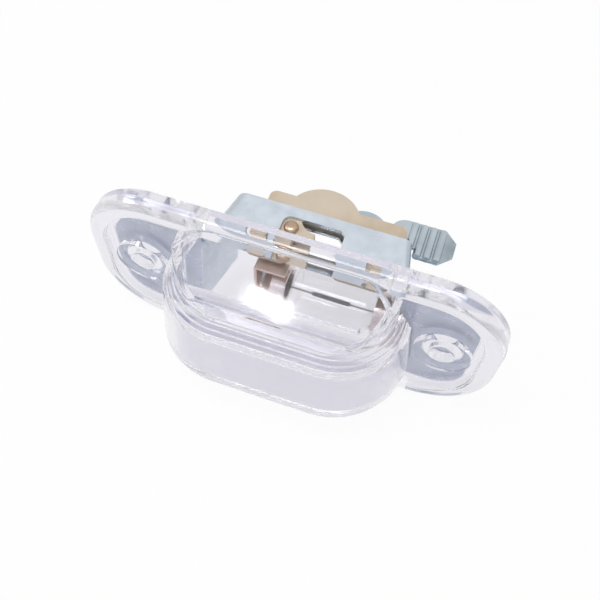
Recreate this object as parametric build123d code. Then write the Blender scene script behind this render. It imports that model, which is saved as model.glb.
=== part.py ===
import os
from math import atan, cos, degrees, radians, tan

from build123d import *

# Number plate lamp. X runs along the flange, +Z is the side that the window faces,
# -Y is the front. The origin is in the middle of the flange's back face.

# Lens flange
flange_length = 86.0
flange_height = 39.2
flange_corner_radius = 15.5
flange_thickness = 4.2
flange_edge_radius = 2.0
rim_width = 4.1
rim_edge_radius = 0.8
recess_depth = 1.6
pocket_depth = 1.0
pocket_clearance = 0.3
ear_gap = 0.05

# Screw holes, their collars in front and spigots behind
screw_spacing = 63.6
screw_hole_radius = 2.65
collar_radius = 5.8
collar_setback = 0.3
spigot_radius = 3.9
spigot_clearance = 0.25

# Lens bowl: a half-round tub that narrows towards its window
bowl_half_length = 26.4
bowl_depth = 16.2
bowl_bottom = -10.0
bowl_draft = 6.0
bowl_bottom_edge_radius = 1.2
smooth_height = 15.0
ridge_count = 4
ridge_height = 1.15
ridge_ledge = 0.35
ridge_draft = 18.0
ridge_edge_radius = 0.3
window_slope = 37.6
window_draft = 1.0
window_edge_radius = 0.8
shoulder_half_width = 24.6
shoulder_radius = 11.0
lens_wall = 2.0

# Bracket, folded from one sheet
sheet = 0.9
box_shift = 1.6
box_back_half_width = 18.4
box_depth = 13.3
plan_taper = 11.3
leg_splay = 5.0
top_plate_height = 10.0
top_plate_setback = 0.6
leg_bottom = -14.5
left_bend_radius = 2.6
right_bend_radius = 1.5
ear_end = 37.6
ear_top = 12.4
ear_corner_radius = 7.0

# Cut-out in the top plate
cutout_x = 0.8
cutout_width = 12.8
cutout_back_margin = 2.5
cutout_length = 7.6
cutout_corner_radius = 1.6

# Insulator under the top plate, held by two pegs in holes of the plate
insulator_thickness = 2.1
insulator_left = -10.6
insulator_right = 18.6
insulator_overhang = 3.5
insulator_bar_width = 5.3
insulator_corner_radius = 1.4
lobe_x = 1.4
lobe_setback = 0.4
lobe_radius = 7.8
lobe_hole_radius = 4.1
left_arm_width = 8.4
right_arm_width = 11.4
arm_front = 1.2
left_peg_margin = 0.3
right_peg_margin = 1.0
peg_y = 4.8
peg_width = 3.4
peg_length = 3.0
peg_corner_radius = 0.6
peg_clearance = 0.15
peg_side_gap = 1.0
peg_rise = 0.4

# Live strip under the insulator, with a ribbed tongue for the wire
strip = 0.8
strip_back_margin = 0.6
strip_width = 5.0
strip_arm_margin = 2.2
rivet_lobe_x = 9.7
rivet_lobe_radius = 5.2
tongue_root_x = 15.0
tongue_tip_x = 28.5
tongue_width = 8.4
tongue_tip_width = 3.4
tongue_chamfer = 2.6
tongue_root_radius = 3.0
tongue_neck_gap = 0.7
rib_count = 4
rib_pitch = 1.95
rib_radius = 0.9
first_rib_x = 19.6
rib_end_margin = 0.3

# Contact spring under the live strip, folded down at the bulb's left end
contact_sheet = 0.6
contact_width = 7.0
contact_drop = 12.2
contact_corner_radius = 2.0
contact_bend_radius = 0.5
contact_hole_radius = 2.05

# Live rivet, in the left end of the cut-out
rivet_side_gap = 2.0
rivet_back_gap = 2.2
rivet_shank_radius = 1.1
rivet_head_radius = 1.5
rivet_head_height = 1.1
rivet_head_edge_radius = 0.8

# Festoon bulb
bulb_length = 31.0
bulb_y = 2.7
bulb_z = -2.5
glass_radius = 5.25
glass_wall = 0.5
glass_body_length = 15.0
neck_radius = 3.3
neck_length = 3.2
shoulder_length = 1.8
cap_radius = 4.25
cap_seat_clearance = 0.12
cone_length = 3.2
cone_tip_radius = 0.9
earth_hole_radius = 2.4
bulb_tip_reach = 0.75
filament_radius = 0.14
filament_coil_radius = 0.45
filament_coil_length = 8.0

# How close two edges lie that count as being in one place
same_place = 0.01

# Heights and depths that several pieces share
front_face_y = -flange_thickness
recess_floor_y = front_face_y + recess_depth
pocket_floor_y = -pocket_depth
ear_front_y = pocket_floor_y + ear_gap
ear_back_y = ear_front_y + sheet
ear_half_height = (ear_top - leg_bottom) / 2
ear_middle_z = (ear_top + leg_bottom) / 2
ridge_inset = ridge_ledge + ridge_height * tan(radians(ridge_draft))
ridges_bottom = bowl_bottom + smooth_height
ridges_inset = smooth_height * tan(radians(bowl_draft))
window_front_z = ridges_bottom + ridge_count * ridge_height
window_inset = ridges_inset + ridge_count * ridge_inset
window_depth = bowl_depth - window_inset
window_root_z = window_front_z + window_depth * tan(radians(window_slope))
insulator_top = top_plate_height - sheet
insulator_bottom = insulator_top - insulator_thickness
insulator_back_y = box_depth + insulator_overhang
strip_bottom = insulator_bottom - strip
strip_back_y = insulator_back_y - strip_back_margin
spring_bottom = strip_bottom - contact_sheet
contact_bottom = strip_bottom - contact_drop
cutout_back_y = box_depth - cutout_back_margin
live_rivet_x = cutout_x - cutout_width / 2 + rivet_side_gap
live_rivet_y = cutout_back_y - rivet_back_gap
strip_left = live_rivet_x - strip_arm_margin
strip_arm_right = live_rivet_x + strip_arm_margin
left_peg_x = insulator_left + left_peg_margin + peg_width / 2
right_peg_x = insulator_right - right_peg_margin - peg_width / 2
peg_xs = (left_peg_x, right_peg_x)
screw_xs = (-screw_spacing / 2, screw_spacing / 2)


def leg_face(y, z, inward=0.0):
    """Distance of a leg's outer face from the middle of the box, at a depth and a height."""
    half = box_back_half_width + (box_depth - y) * tan(radians(plan_taper))
    return half + (top_plate_height - z) * tan(radians(leg_splay)) - inward


bulb_right_x = box_shift + leg_face(bulb_y, bulb_z, sheet) + bulb_tip_reach
bulb_left_x = bulb_right_x - bulb_length
bulb_middle_x = bulb_right_x - bulb_length / 2
contact_front = bulb_y - contact_width / 2
contact_back = bulb_y + contact_width / 2
tongue_back = strip_back_y + tongue_width / 2
tongue_front = tongue_back - tongue_width
neck_front = box_depth + tongue_neck_gap
leg_right = box_shift + leg_face(box_depth, strip_bottom) + tongue_neck_gap


def flat(z, sketch, thickness):
    """A plate with its lower face at height z."""
    return extrude(Plane.XY.offset(z) * sketch, amount=thickness)


def upright(y, sketch, thickness):
    """A plate with its back face at depth y, standing in X and Z."""
    return extrude(Plane.XZ.offset(-y) * sketch, amount=thickness)


def span(x0, x1, y0, y1):
    """A rectangle given by its edges."""
    return Pos((x0 + x1) / 2, (y0 + y1) / 2) * Rectangle(x1 - x0, y1 - y0)


def rounded_span(x0, x1, y0, y1, radius):
    """A rectangle given by its edges, with round corners."""
    return Pos((x0 + x1) / 2, (y0 + y1) / 2) * RectangleRounded(x1 - x0, y1 - y0, radius)


def rod(x0, x1, radius):
    """A round bar on the bulb's axis."""
    return Pos(x0, bulb_y, bulb_z) * extrude(Plane.YZ * Circle(radius), amount=x1 - x0)


def turned(points):
    """A solid turned about the bulb's axis, from points of distance along it and radius."""
    profile = make_face(Polyline([(x, r) for x, r in points], close=True))
    return Pos(bulb_middle_x, bulb_y, bulb_z) * revolve(profile, axis=Axis.X)


def tub_layer(z, height, inset, draft):
    """One drafted layer of the bowl, round at both ends."""
    outline = SlotOverall(2 * (bowl_half_length - inset), 2 * (bowl_depth - inset))
    return extrude(Plane.XY.offset(z) * Pos(0, front_face_y) * outline, amount=height, taper=draft)


def above_window(drop):
    """All that lies above the window's face, or above its inner face when dropped by a wall."""
    front_y = front_face_y - bowl_depth
    lower = (bowl_depth - window_depth) * tan(radians(window_slope))
    step = drop / cos(radians(window_slope))
    corners = [
        (front_y, window_front_z - lower - step),
        (front_face_y, window_root_z - step),
        (0, window_root_z - step),
        (0, flange_height),
        (front_y, flange_height),
    ]
    face = make_face(Plane.YZ * Polyline(corners, close=True))
    return extrude(face, amount=flange_length, both=True)


def shoulders(inward):
    """The bowl's upper outline seen from the front, with both top corners well rounded."""
    half_width = shoulder_half_width - inward
    top = window_root_z - inward
    outline = RectangleRounded(2 * half_width, 2 * top, shoulder_radius - inward)
    return upright(flange_thickness, outline, 2 * (bowl_depth + flange_thickness))


def crown():
    """The top of the bowl, cut to the sloping window, with a rounded edge."""
    body = tub_layer(window_front_z, flange_height / 2 - window_front_z, window_inset, window_draft)
    body = (body & shoulders(0)) - above_window(0)
    window = body.faces().filter_by(lambda face: face.normal_at().Z > face.normal_at().length / 2)
    window = window.sort_by(SortBy.AREA)[-1]
    return fillet(window.edges(), window_edge_radius)


def bowl_outside():
    body = tub_layer(bowl_bottom, smooth_height, 0, bowl_draft)
    body = fillet(body.edges().group_by(Axis.Z)[0], bowl_bottom_edge_radius)
    for number in range(ridge_count):
        height = ridges_bottom + number * ridge_height
        inset = ridges_inset + number * ridge_inset + ridge_ledge
        ridge = tub_layer(height, ridge_height, inset, ridge_draft)
        ridge = fillet(ridge.edges().group_by(Axis.Z)[-1], ridge_edge_radius)
        body += ridge & shoulders(0)
    body += crown()
    front_half = span(-flange_length, flange_length, front_face_y - 2 * bowl_depth, pocket_floor_y)
    return body & flat(bowl_bottom, front_half, flange_height)


def bowl_inside():
    floor = bowl_bottom + lens_wall
    floor_inset = lens_wall + lens_wall * tan(radians(bowl_draft))
    ridge_slope = degrees(atan(ridge_inset / ridge_height))
    space = tub_layer(ridges_bottom, ridge_count * ridge_height, ridges_inset + lens_wall, ridge_slope)
    crown_height = window_root_z - window_front_z
    space += tub_layer(window_front_z, crown_height, window_inset + lens_wall, window_draft)
    space &= shoulders(lens_wall)
    space += tub_layer(floor, smooth_height - lens_wall, floor_inset, bowl_draft)
    return space - above_window(lens_wall)


def lens():
    outline = RectangleRounded(flange_length, flange_height, flange_corner_radius)
    body = upright(0, outline, flange_thickness)
    body = fillet(body.edges().group_by(Axis.Y)[0], flange_edge_radius)
    recess_outline = RectangleRounded(
        flange_length - 2 * rim_width, flange_height - 2 * rim_width, flange_corner_radius - rim_width
    )
    body -= upright(recess_floor_y, recess_outline, recess_depth)
    rim_face = body.faces().sort_by(Axis.Y)[0]
    body = fillet(rim_face.inner_wires()[0].edges(), rim_edge_radius)
    body += bowl_outside()
    body -= bowl_inside()
    pocket_outline = RectangleRounded(
        2 * (ear_end + pocket_clearance),
        2 * (ear_half_height + pocket_clearance),
        ear_corner_radius + pocket_clearance,
    )
    body -= upright(0, Pos(0, ear_middle_z) * pocket_outline, pocket_depth)
    for x in screw_xs:
        collar_height = recess_depth - collar_setback
        body += upright(recess_floor_y, Pos(x, 0) * Circle(collar_radius), collar_height)
        body += upright(0, Pos(x, 0) * Circle(spigot_radius), pocket_depth)
        body -= upright(0, Pos(x, 0) * Circle(screw_hole_radius), flange_thickness)
    return body


def box_block(inward, top):
    """The space that the bracket's top plate and legs enclose, or their outside."""
    front_y = pocket_floor_y - flange_thickness
    back_y = box_depth + flange_thickness
    front_half = leg_face(front_y, leg_bottom, inward)
    back_half = leg_face(back_y, leg_bottom, inward)
    plan = Polygon(
        (-front_half, front_y), (front_half, front_y), (back_half, back_y), (-back_half, back_y), align=None
    )
    return extrude(
        Plane.XY.offset(leg_bottom) * Pos(box_shift, 0) * plan, amount=top - leg_bottom, taper=leg_splay
    )


def bend_edges(body, height, right):
    """The long edge of a bend at a given height, on one side of the box."""
    side = 1 if right else -1
    level = body.edges().filter_by_position(Axis.Z, height - same_place, height + same_place)
    return [edge for edge in level if (edge.center().X - box_shift) * side > box_back_half_width / 2
            and edge.bounding_box().size.Y > box_depth / 2]


def folded_box():
    """Top plate and legs, with rounded bends."""
    body = box_block(0, top_plate_height) - box_block(sheet, top_plate_height - sheet)
    body &= flat(leg_bottom, span(-flange_length, flange_length, ear_front_y, box_depth), flange_height)
    for right, radius in ((False, left_bend_radius), (True, right_bend_radius)):
        body = fillet(bend_edges(body, top_plate_height, right), radius)
        body = fillet(bend_edges(body, top_plate_height - sheet, right), radius - sheet)
    return body


def ear_plate():
    """The two ears, parted by the opening between the legs."""
    outline = RectangleRounded(2 * ear_end, 2 * ear_half_height, ear_corner_radius)
    plate = Pos(0, ear_middle_z) * outline
    top_half = leg_face(ear_back_y, ear_top, sheet)
    bottom_half = leg_face(ear_back_y, leg_bottom, sheet)
    gap = Pos(box_shift, 0) * Polygon(
        (-bottom_half, leg_bottom),
        (bottom_half, leg_bottom),
        (top_half, ear_top),
        (-top_half, ear_top),
        align=None,
    )
    return upright(ear_back_y, plate - gap, sheet)


def peg_plan(x):
    """A peg of the insulator, seen from above."""
    half = peg_width / 2
    return rounded_span(
        x - half, x + half, peg_y - peg_length / 2, peg_y + peg_length / 2, peg_corner_radius
    )


def peg_hole(x):
    """The hole round a peg, wider at the peg's left."""
    half_length = peg_length / 2 + peg_clearance
    left = x - peg_width / 2 - peg_side_gap
    right = x + peg_width / 2 + peg_clearance
    return rounded_span(left, right, peg_y - half_length, peg_y + half_length, peg_corner_radius)


def bracket():
    body = folded_box()
    front_edge = span(-flange_length, flange_length, ear_front_y, top_plate_setback)
    notch = flat(insulator_top - left_bend_radius, front_edge, flange_height)
    body -= notch & box_block(left_bend_radius, top_plate_height)
    body += ear_plate()
    cutout_y = cutout_back_y - cutout_length / 2
    cutout = Pos(cutout_x, cutout_y) * RectangleRounded(cutout_width, cutout_length, cutout_corner_radius)
    body -= flat(insulator_top, cutout, sheet)
    for x in peg_xs:
        body -= flat(insulator_top, peg_hole(x), sheet)
    for x in screw_xs:
        body -= upright(ear_back_y, Pos(x, 0) * Circle(spigot_radius + spigot_clearance), sheet)
    return body - rod(bulb_middle_x, bulb_right_x + 2 * sheet, earth_hole_radius)


def rivet_hole(z, thickness):
    """The live rivet's hole through one of the pieces that it clamps."""
    return flat(z, Pos(live_rivet_x, live_rivet_y) * Circle(rivet_shank_radius), thickness)


def insulator():
    bar_front = insulator_back_y - insulator_bar_width
    plan = rounded_span(insulator_left, insulator_right, bar_front, insulator_back_y, insulator_corner_radius)
    lobe = Pos(lobe_x, box_depth - lobe_setback)
    plan += lobe * Circle(lobe_radius)
    hole_back = box_depth - cutout_back_margin / 2
    hole = lobe * Circle(lobe_hole_radius) & span(insulator_left, insulator_right, arm_front, hole_back)
    right_arm_left = insulator_right - right_arm_width
    gap = span(lobe_x, right_arm_left, arm_front, hole_back)
    plan -= hole + gap
    plan += rounded_span(
        insulator_left, insulator_left + left_arm_width, arm_front, insulator_back_y, insulator_corner_radius
    )
    plan += rounded_span(
        right_arm_left, insulator_right, arm_front, insulator_back_y, insulator_corner_radius
    )
    body = flat(insulator_bottom, plan, insulator_thickness)
    for x in peg_xs:
        body += flat(insulator_top, peg_plan(x), sheet + peg_rise)
    return body - rivet_hole(insulator_bottom, insulator_thickness)


def tongue_plan():
    """The tongue seen from above: round root, neck behind the leg, blunt tip."""
    middle = (tongue_front + tongue_back) / 2
    half_tip = tongue_tip_width / 2
    blade = Polygon(
        (leg_right, tongue_front),
        (tongue_tip_x - tongue_chamfer, tongue_front),
        (tongue_tip_x, middle - half_tip),
        (tongue_tip_x, middle + half_tip),
        (tongue_tip_x - tongue_chamfer, tongue_back),
        (leg_right, tongue_back),
        align=None,
    )
    root_right = leg_right + tongue_root_radius
    root = rounded_span(tongue_root_x, root_right, neck_front, tongue_back, tongue_root_radius)
    return blade + root


def live_strip():
    strip_front = strip_back_y - strip_width
    plan = rounded_span(
        strip_left, tongue_root_x + tongue_root_radius, strip_front, strip_back_y, strip_width / 2 - strip
    )
    lobe_y = strip_back_y - strip_width / 2 + strip
    plan += Pos(rivet_lobe_x, lobe_y) * Circle(rivet_lobe_radius)
    plan += span(strip_left, strip_arm_right, live_rivet_y, lobe_y)
    plan += Pos(live_rivet_x, live_rivet_y) * Circle(strip_arm_margin)
    plan += tongue_plan()
    body = flat(strip_bottom, plan, strip)
    for number in range(rib_count):
        x = first_rib_x + number * rib_pitch
        start = rib_end_margin + (tongue_front if x > leg_right else neck_front)
        rib = extrude(Plane.XZ * Circle(rib_radius), amount=start - tongue_back + rib_end_margin)
        body += Pos(x, start, strip_bottom + strip / 2) * rib
    return body - rivet_hole(strip_bottom, strip)


def contact_spring():
    """A foot at the rivet, an arm to the front, and a blade folded down at the arm's left edge."""
    plan = span(bulb_left_x, strip_arm_right, contact_front, contact_back)
    plan += span(strip_left, strip_arm_right, contact_front, live_rivet_y)
    plan += Pos(live_rivet_x, live_rivet_y) * Circle(strip_arm_margin)
    body = flat(spring_bottom, plan, contact_sheet)
    blade_top = strip_bottom + contact_corner_radius
    blade = Plane.YZ.offset(bulb_left_x) * rounded_span(
        contact_front, contact_back, contact_bottom, blade_top, contact_corner_radius
    )
    reach = span(bulb_left_x, strip_arm_right, contact_front, contact_back)
    body += extrude(blade, amount=contact_sheet) & flat(contact_bottom, reach, contact_drop)
    bend = body.edges().filter_by(Axis.Y).filter_by_position(
        Axis.X, bulb_left_x - same_place, bulb_left_x + same_place
    )
    body = fillet(bend.sort_by(Axis.Z)[-1], contact_bend_radius)
    body -= rivet_hole(spring_bottom, contact_sheet)
    return body - rod(bulb_left_x - contact_sheet, bulb_middle_x, contact_hole_radius)


def live_rivet():
    """Clamps the live strip and the contact spring to the insulator, with a low round head at both ends."""
    shank = flat(spring_bottom, Circle(rivet_shank_radius), insulator_top - spring_bottom)
    upper = flat(insulator_top, Circle(rivet_head_radius), rivet_head_height)
    lower = flat(spring_bottom - rivet_head_height, Circle(rivet_head_radius), rivet_head_height)
    upper = fillet(upper.edges().group_by(Axis.Z)[-1], rivet_head_edge_radius)
    lower = fillet(lower.edges().group_by(Axis.Z)[0], rivet_head_edge_radius)
    return Pos(live_rivet_x, live_rivet_y) * (shank + upper + lower)


def glass_profile(inward):
    """Half of the bulb's glass along its axis, as distance and radius."""
    body_end = glass_body_length / 2
    neck_start = body_end + shoulder_length
    neck_end = neck_start + neck_length
    return [
        (0, 0), (0, glass_radius - inward), (body_end, glass_radius - inward),
        (neck_start, neck_radius - inward), (neck_end - inward, neck_radius - inward), (neck_end - inward, 0),
    ]


def bulb_glass():
    outside = turned(glass_profile(0))
    inside = turned(glass_profile(glass_wall))
    half = outside - inside
    return half + half.mirror(Plane.YZ.offset(bulb_middle_x))


def bulb_cap():
    """The right cap: a cup round the glass neck, with a cone at its end."""
    mouth = glass_body_length / 2 + shoulder_length
    seat = mouth + neck_length + cap_seat_clearance
    tip = bulb_length / 2
    bore = neck_radius + cap_seat_clearance
    return turned([
        (mouth, bore), (mouth, cap_radius), (tip - cone_length, cap_radius),
        (tip, cone_tip_radius), (tip, 0), (seat, 0), (seat, bore),
    ])


def bulb_filament():
    """A coil between two lead wires, drawn as its envelope."""
    reach = glass_body_length / 2 + shoulder_length + neck_length - glass_wall
    wires = rod(bulb_middle_x - reach, bulb_middle_x + reach, filament_radius)
    half_coil = filament_coil_length / 2
    return wires + rod(bulb_middle_x - half_coil, bulb_middle_x + half_coil, filament_coil_radius)


def write(name, shape):
    export_step(shape, f"parts/{name}.step")


os.makedirs("parts", exist_ok=True)
right_cap = bulb_cap()
write("lens", lens())
write("bracket", bracket())
write("insulator", insulator())
write("live_strip", live_strip())
write("contact_spring", contact_spring())
write("live_rivet", live_rivet())
write("bulb_glass", bulb_glass())
write("bulb_cap_right", right_cap)
write("bulb_cap_left", right_cap.mirror(Plane.YZ.offset(bulb_middle_x)))
write("bulb_filament", bulb_filament())
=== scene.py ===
import math

import bpy
from mathutils import Matrix, Vector


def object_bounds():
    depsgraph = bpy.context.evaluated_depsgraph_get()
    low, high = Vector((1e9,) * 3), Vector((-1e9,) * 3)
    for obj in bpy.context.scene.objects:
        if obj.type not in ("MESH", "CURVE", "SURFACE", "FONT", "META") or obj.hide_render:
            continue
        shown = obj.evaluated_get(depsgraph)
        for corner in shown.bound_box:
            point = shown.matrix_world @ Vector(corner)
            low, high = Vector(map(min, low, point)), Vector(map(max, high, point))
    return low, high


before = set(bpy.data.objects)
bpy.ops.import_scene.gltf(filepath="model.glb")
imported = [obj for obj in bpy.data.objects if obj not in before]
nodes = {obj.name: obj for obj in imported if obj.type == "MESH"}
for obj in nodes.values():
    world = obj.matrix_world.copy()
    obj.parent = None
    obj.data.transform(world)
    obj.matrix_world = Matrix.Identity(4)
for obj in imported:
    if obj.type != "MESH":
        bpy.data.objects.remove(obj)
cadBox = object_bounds()


def linearColour(red, green, blue):
    # 0 to 255 screen values to what the shader sockets want
    def one(value):
        part = value / 255
        return part / 12.92 if part <= 0.04045 else ((part + 0.055) / 1.055) ** 2.4
    return (one(red), one(green), one(blue), 1.0)


def newGroup(name, inputs, outputs):
    group = bpy.data.node_groups.new(name, "ShaderNodeTree")
    for socketName, kind, default in inputs:
        socket = group.interface.new_socket(socketName, in_out="INPUT", socket_type=kind)
        socket.default_value = default
    for socketName, kind in outputs:
        group.interface.new_socket(socketName, in_out="OUTPUT", socket_type=kind)
    return group, group.nodes.new("NodeGroupInput"), group.nodes.new("NodeGroupOutput")


def objectNoise(tree, scaleSocket, detail=3.0):
    place = tree.nodes.new("ShaderNodeTexCoord")
    noise = tree.nodes.new("ShaderNodeTexNoise")
    noise.inputs["Detail"].default_value = detail
    tree.links.new(place.outputs["Object"], noise.inputs["Vector"])
    tree.links.new(scaleSocket, noise.inputs["Scale"])
    return noise


# nearly all values of a noise lie between these two
noiseLow = 0.35
noiseHigh = 0.65
# pointiness where the edge tone (a painted highlight where it is lighter) begins, and where it counts in
# full
edgeStart = 0.52
edgeFull = 0.6


def spreadNoise(tree, valueSocket):
    spread = tree.nodes.new("ShaderNodeMapRange")
    spread.inputs["From Min"].default_value = noiseLow
    spread.inputs["From Max"].default_value = noiseHigh
    tree.links.new(valueSocket, spread.inputs["Value"])
    return spread


def mixTones(tree, share, first, second):
    mix = tree.nodes.new("ShaderNodeMix")
    mix.data_type = "RGBA"
    tree.links.new(share, mix.inputs["Factor"])
    tree.links.new(first, mix.inputs["A"])
    tree.links.new(second, mix.inputs["B"])
    return mix.outputs["Result"]


def buildHandling():
    # uneven gloss and a faint waviness, as on parts that have been handled
    group, given, result = newGroup(
        "handling",
        [
            ("Scale", "NodeSocketFloat", 300.0),
            ("Gloss Low", "NodeSocketFloat", 0.1),
            ("Gloss High", "NodeSocketFloat", 0.2),
        ],
        [("Roughness", "NodeSocketFloat"), ("Height", "NodeSocketFloat")],
    )
    noise = objectNoise(group, given.outputs["Scale"])
    gloss = spreadNoise(group, noise.outputs["Fac"])
    group.links.new(given.outputs["Gloss Low"], gloss.inputs["To Min"])
    group.links.new(given.outputs["Gloss High"], gloss.inputs["To Max"])
    group.links.new(gloss.outputs["Result"], result.inputs["Roughness"])
    group.links.new(noise.outputs["Fac"], result.inputs["Height"])
    return group


def buildMottle():
    # two tones in soft patches, with the edges a little lighter or darker; a lighter edge tone is a painted
    # highlight on the edges
    group, given, result = newGroup(
        "mottle",
        [
            ("Scale", "NodeSocketFloat", 200.0),
            ("Light Tone", "NodeSocketColor", (1, 1, 1, 1)),
            ("Dark Tone", "NodeSocketColor", (0.5, 0.5, 0.5, 1)),
            ("Edge Tone", "NodeSocketColor", (0.5, 0.5, 0.5, 1)),
            ("Edge Amount", "NodeSocketFloat", 0.3),
        ],
        [("Color", "NodeSocketColor")],
    )
    noise = objectNoise(group, given.outputs["Scale"], detail=5.0)
    spread = spreadNoise(group, noise.outputs["Fac"])
    tone = mixTones(group, spread.outputs["Result"], given.outputs["Dark Tone"], given.outputs["Light Tone"])
    shape = group.nodes.new("ShaderNodeNewGeometry")
    edge = group.nodes.new("ShaderNodeMapRange")
    edge.inputs["From Min"].default_value = edgeStart
    edge.inputs["From Max"].default_value = edgeFull
    group.links.new(shape.outputs["Pointiness"], edge.inputs["Value"])
    group.links.new(given.outputs["Edge Amount"], edge.inputs["To Max"])
    # pointed edges take the Edge Tone: painted edge highlight where it is lighter than the patches
    edgeToned = mixTones(group, edge.outputs["Result"], tone, given.outputs["Edge Tone"])
    group.links.new(edgeToned, result.inputs["Color"])
    return group


handling = buildHandling()
mottle = buildMottle()
print("shared effects ready")


def place(tree, group, values):
    node = tree.nodes.new("ShaderNodeGroup")
    node.node_tree = group
    for name, value in values.items():
        node.inputs[name].default_value = value
    return node


def newMaterial(name):
    material = bpy.data.materials.new(name)
    material.use_nodes = True
    return material, material.node_tree, material.node_tree.nodes["Principled BSDF"]


def addWaves(tree, shader, heightSocket, distance, strength):
    bump = tree.nodes.new("ShaderNodeBump")
    bump.inputs["Distance"].default_value = distance
    bump.inputs["Strength"].default_value = strength
    tree.links.new(heightSocket, bump.inputs["Height"])
    tree.links.new(bump.outputs["Normal"], shader.inputs["Normal"])


def clearMaterial(name, look):
    material, tree, shader = newMaterial(name)
    shader.inputs["Base Color"].default_value = look["tint"]
    shader.inputs["Transmission Weight"].default_value = 1.0
    shader.inputs["IOR"].default_value = look["ior"]
    shader.inputs["Specular IOR Level"].default_value = look["shine"]
    marks = place(tree, handling, look["handling"])
    tree.links.new(marks.outputs["Roughness"], shader.inputs["Roughness"])
    addWaves(tree, shader, marks.outputs["Height"], look["waveDepth"], look["waveStrength"])
    return material


def solidMaterial(name, look):
    material, tree, shader = newMaterial(name)
    shader.inputs["Metallic"].default_value = look["metallic"]
    tones = place(tree, mottle, look["mottle"])
    tree.links.new(tones.outputs["Color"], shader.inputs["Base Color"])
    marks = place(tree, handling, look["handling"])
    tree.links.new(marks.outputs["Roughness"], shader.inputs["Roughness"])
    addWaves(tree, shader, marks.outputs["Height"], look["waveDepth"], look["waveStrength"])
    return material


def dress(nodeNames, material):
    for nodeName in nodeNames:
        mesh = nodes[nodeName].data
        mesh.materials.clear()
        mesh.materials.append(material)
    print("dressed", ", ".join(nodeNames))


lensLook = {
    "tint": linearColour(238, 237, 243),
    "ior": 1.49,
    "shine": 1.0,
    "handling": {"Scale": 90.0, "Gloss Low": 0.04, "Gloss High": 0.09},
    "waveDepth": 0.0002,
    "waveStrength": 0.12,
}
dress(["lens"], clearMaterial("clearPlastic", lensLook))

bulbLook = {
    "tint": linearColour(250, 250, 250),
    "ior": 1.46,
    "shine": 0.5,
    "handling": {"Scale": 60.0, "Gloss Low": 0.0, "Gloss High": 0.02},
    "waveDepth": 0.0001,
    "waveStrength": 0.05,
}
dress(["bulb_glass"], clearMaterial("bulbGlass", bulbLook))

bracketLook = {
    "metallic": 1.0,
    "mottle": {
        "Scale": 140.0,
        "Light Tone": linearColour(197, 207, 219),
        "Dark Tone": linearColour(180, 191, 204),
        # lighter edges: painted edge highlight
        "Edge Tone": linearColour(230, 236, 243),
        "Edge Amount": 0.5,
    },
    "handling": {"Scale": 420.0, "Gloss Low": 0.26, "Gloss High": 0.4},
    "waveDepth": 0.0001,
    "waveStrength": 0.08,
}
dress(["bracket"], solidMaterial("zincPlate", bracketLook))

insulatorLook = {
    "metallic": 0.0,
    "mottle": {
        "Scale": 260.0,
        "Light Tone": linearColour(212, 196, 174),
        "Dark Tone": linearColour(201, 183, 160),
        # lighter edges: painted edge highlight
        "Edge Tone": linearColour(222, 208, 190),
        "Edge Amount": 0.6,
    },
    "handling": {"Scale": 900.0, "Gloss Low": 0.4, "Gloss High": 0.55},
    "waveDepth": 0.00005,
    "waveStrength": 0.2,
}
dress(["insulator"], solidMaterial("beigePlastic", insulatorLook))

stripLook = {
    "metallic": 1.0,
    "mottle": {
        "Scale": 220.0,
        "Light Tone": linearColour(184, 195, 203),
        "Dark Tone": linearColour(150, 162, 171),
        # lighter edges: painted edge highlight
        "Edge Tone": linearColour(212, 221, 228),
        "Edge Amount": 0.5,
    },
    "handling": {"Scale": 500.0, "Gloss Low": 0.14, "Gloss High": 0.24},
    "waveDepth": 0.0001,
    "waveStrength": 0.08,
}
dress(["live_strip"], solidMaterial("stripMetal", stripLook))

springLook = {
    "metallic": 1.0,
    "mottle": {
        "Scale": 300.0,
        "Light Tone": linearColour(238, 222, 212),
        "Dark Tone": linearColour(222, 202, 192),
        "Edge Tone": linearColour(222, 194, 172),
        "Edge Amount": 0.5,
    },
    "handling": {"Scale": 600.0, "Gloss Low": 0.28, "Gloss High": 0.42},
    "waveDepth": 0.0001,
    "waveStrength": 0.08,
}
dress(["contact_spring"], solidMaterial("springBronze", springLook))

rivetLook = {
    "metallic": 1.0,
    "mottle": {
        "Scale": 400.0,
        "Light Tone": linearColour(206, 182, 160),
        "Dark Tone": linearColour(180, 152, 130),
        # lighter edges: painted edge highlight
        "Edge Tone": linearColour(222, 200, 180),
        "Edge Amount": 0.5,
    },
    "handling": {"Scale": 700.0, "Gloss Low": 0.25, "Gloss High": 0.4},
    "waveDepth": 0.0001,
    "waveStrength": 0.1,
}
dress(["live_rivet"], solidMaterial("rivetMetal", rivetLook))

capLook = {
    "metallic": 1.0,
    "mottle": {
        "Scale": 250.0,
        "Light Tone": linearColour(222, 212, 208),
        "Dark Tone": linearColour(200, 188, 184),
        # lighter edges: painted edge highlight
        "Edge Tone": linearColour(234, 226, 222),
        "Edge Amount": 0.4,
    },
    "handling": {"Scale": 500.0, "Gloss Low": 0.14, "Gloss High": 0.24},
    "waveDepth": 0.0001,
    "waveStrength": 0.06,
}
dress(["bulb_cap_left", "bulb_cap_right"], solidMaterial("capNickel", capLook))

filamentLook = {
    "metallic": 1.0,
    "mottle": {
        "Scale": 1500.0,
        "Light Tone": linearColour(120, 116, 112),
        "Dark Tone": linearColour(90, 86, 83),
        # lighter edges: painted edge highlight
        "Edge Tone": linearColour(130, 126, 122),
        "Edge Amount": 0.3,
    },
    "handling": {"Scale": 2000.0, "Gloss Low": 0.35, "Gloss High": 0.5},
    "waveDepth": 0.00005,
    "waveStrength": 0.1,
}
dress(["bulb_filament"], solidMaterial("filamentWire", filamentLook))


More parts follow.
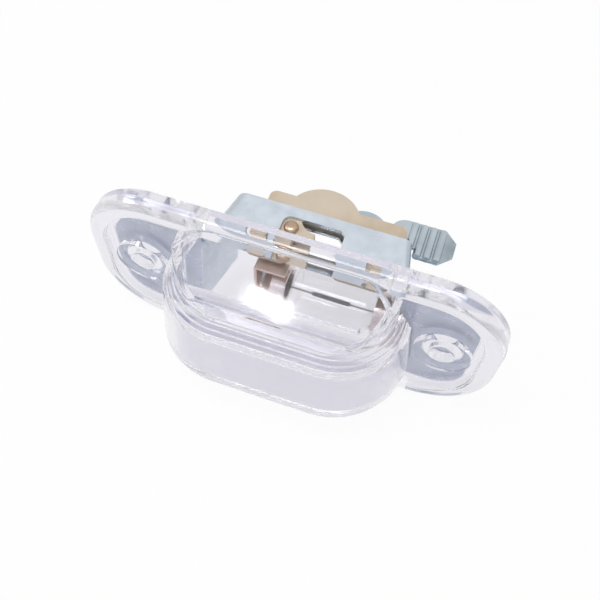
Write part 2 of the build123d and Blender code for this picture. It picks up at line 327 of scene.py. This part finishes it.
def largerOf(tree, first, second):
    larger = tree.nodes.new("ShaderNodeMath")
    larger.operation = "MAXIMUM"
    tree.links.new(first, larger.inputs[0])
    tree.links.new(second, larger.inputs[1])
    return larger.outputs["Value"]


def scaled(tree, valueSocket, factor):
    product = tree.nodes.new("ShaderNodeMath")
    product.operation = "MULTIPLY"
    product.inputs[1].default_value = factor
    tree.links.new(valueSocket, product.inputs[0])
    return product.outputs["Value"]


def seenRays(tree):
    # 1 for what the eye, a mirror or a clear piece looks at, 0 for light that falls on matt surfaces
    rays = tree.nodes.new("ShaderNodeLightPath")
    mirrored = largerOf(tree, rays.outputs["Is Camera Ray"], rays.outputs["Is Glossy Ray"])
    return largerOf(tree, mirrored, rays.outputs["Is Transmission Ray"])


floorLook = {
    "size": 4.0,
    "colour": (0.95, 0.95, 0.95, 1),
    "whiteSeen": 0.95,  # share of plain white that the eye sees
    "whiteInside": 0.82,  # share of it in mirrors and through clear pieces
}


def floorMaterial(look):
    material = bpy.data.materials.new("whiteFloor")
    material.use_nodes = True
    tree = material.node_tree
    tree.nodes.clear()
    output = tree.nodes.new("ShaderNodeOutputMaterial")
    matt = tree.nodes.new("ShaderNodeBsdfDiffuse")
    matt.inputs["Color"].default_value = look["colour"]
    white = tree.nodes.new("ShaderNodeEmission")
    rays = tree.nodes.new("ShaderNodeLightPath")
    direct = scaled(tree, rays.outputs["Is Camera Ray"], look["whiteSeen"])
    mirrored = scaled(tree, seenRays(tree), look["whiteInside"])
    mix = tree.nodes.new("ShaderNodeMixShader")
    tree.links.new(largerOf(tree, direct, mirrored), mix.inputs["Fac"])
    tree.links.new(matt.outputs["BSDF"], mix.inputs[1])
    tree.links.new(white.outputs["Emission"], mix.inputs[2])
    tree.links.new(mix.outputs["Shader"], output.inputs["Surface"])
    return material


def layFloor(look):
    half = look["size"] / 2
    height = cadBox[0][2]
    mesh = bpy.data.meshes.new("floor")
    corners = [(-half, -half, height), (half, -half, height), (half, half, height), (-half, half, height)]
    mesh.from_pydata(corners, [], [(0, 1, 2, 3)])
    floor = bpy.data.objects.new("floor", mesh)
    bpy.context.collection.objects.link(floor)
    mesh.materials.append(floorMaterial(look))
    print("floor laid")


layFloor(floorLook)


worldLook = {
    "colour": (1.0, 1.0, 1.0, 1),
    "lightSide": (0.35, -0.35, 0.87),  # where the room is brightest
    "dimTurn": -0.6,   # how far a direction has turned to the bright side where the room is at its dimmest
    "brightTurn": 0.95,
    "dim": 0.66,
    "bright": 1.0,
    "mattShare": 0.4,  # what the room sheds on matt surfaces
}


def paintWorld(look):
    world = bpy.data.worlds.new("softRoom")
    world.use_nodes = True
    bpy.context.scene.world = world
    tree = world.node_tree
    backdrop = tree.nodes["Background"]
    backdrop.inputs["Color"].default_value = look["colour"]
    towards = tree.nodes.new("ShaderNodeTexCoord")
    facing = tree.nodes.new("ShaderNodeVectorMath")
    facing.operation = "DOT_PRODUCT"
    facing.inputs[1].default_value = look["lightSide"]
    tree.links.new(towards.outputs["Generated"], facing.inputs[0])
    shade = tree.nodes.new("ShaderNodeMapRange")
    shade.inputs["From Min"].default_value = look["dimTurn"]
    shade.inputs["From Max"].default_value = look["brightTurn"]
    shade.inputs["To Min"].default_value = look["dim"]
    shade.inputs["To Max"].default_value = look["bright"]
    tree.links.new(facing.outputs["Value"], shade.inputs["Value"])
    share = tree.nodes.new("ShaderNodeMapRange")
    share.inputs["To Min"].default_value = look["mattShare"]
    tree.links.new(seenRays(tree), share.inputs["Value"])
    level = tree.nodes.new("ShaderNodeMath")
    level.operation = "MULTIPLY"
    tree.links.new(shade.outputs["Result"], level.inputs[0])
    tree.links.new(share.outputs["Result"], level.inputs[1])
    tree.links.new(level.outputs["Value"], backdrop.inputs["Strength"])
    print("room painted")


paintWorld(worldLook)


overheadPanel = {
    "name": "overheadPanel",
    "spot": (-0.08, -0.06, 0.58),
    "aim": (-0.08, 0, 0),
    "size": (0.3, 0.24),
    "power": 1.5,
}
leftPanel = {
    "name": "leftPanel",
    "spot": (-0.5, -0.15, 0.35),
    "aim": (0, 0, 0),
    "size": (0.3, 0.3),
    "power": 0.8,
}
windowFlash = {
    "name": "windowFlash",
    "spot": (-0.112, -0.42, 0.408),
    "aim": (-0.004, -0.012, 0.013),
    "size": (0.045, 0.018),
    "power": 0.1,
}


def hangLamp(look):
    lamp = bpy.data.lights.new(look["name"], "AREA")
    lamp.shape = "RECTANGLE"
    lamp.size, lamp.size_y = look["size"]
    lamp.energy = look["power"]
    holder = bpy.data.objects.new(look["name"], lamp)
    holder.location = look["spot"]
    towards = Vector(look["aim"]) - Vector(look["spot"])
    holder.rotation_euler = towards.to_track_quat("-Z", "Y").to_euler()
    bpy.context.collection.objects.link(holder)


for lampLook in (overheadPanel, leftPanel, windowFlash):
    hangLamp(lampLook)
print("lamps hung")


cameraLook = {
    "spot": (0.02344, -0.07182, 0.12085),
    "aim": (0.00211, -0.00181, 0.00090),
    "roll": 2.73,  # degrees
    "lens": 42.0,
    "sensor": 36.0,
    "nearest": 0.005,
}


def setCamera(look):
    camera = bpy.data.cameras.new("photoCamera")
    camera.lens = look["lens"]
    camera.sensor_width = look["sensor"]
    camera.sensor_fit = "HORIZONTAL"
    camera.clip_start = look["nearest"]
    holder = bpy.data.objects.new("photoCamera", camera)
    towards = Vector(look["aim"]) - Vector(look["spot"])
    turn = towards.to_track_quat("-Z", "Y").to_matrix().to_4x4()
    roll = Matrix.Rotation(math.radians(look["roll"]), 4, "Z")
    holder.matrix_world = Matrix.Translation(look["spot"]) @ turn @ roll
    bpy.context.collection.objects.link(holder)
    bpy.context.scene.camera = holder
    print("camera set")


setCamera(cameraLook)

bpy.context.scene.view_settings.view_transform = "Standard"
clearBounces = 32  # the flange carries light a long way between its faces
bpy.context.scene.cycles.max_bounces = clearBounces
bpy.context.scene.cycles.transmission_bounces = clearBounces
bpy.context.scene.cycles.glossy_bounces = clearBounces
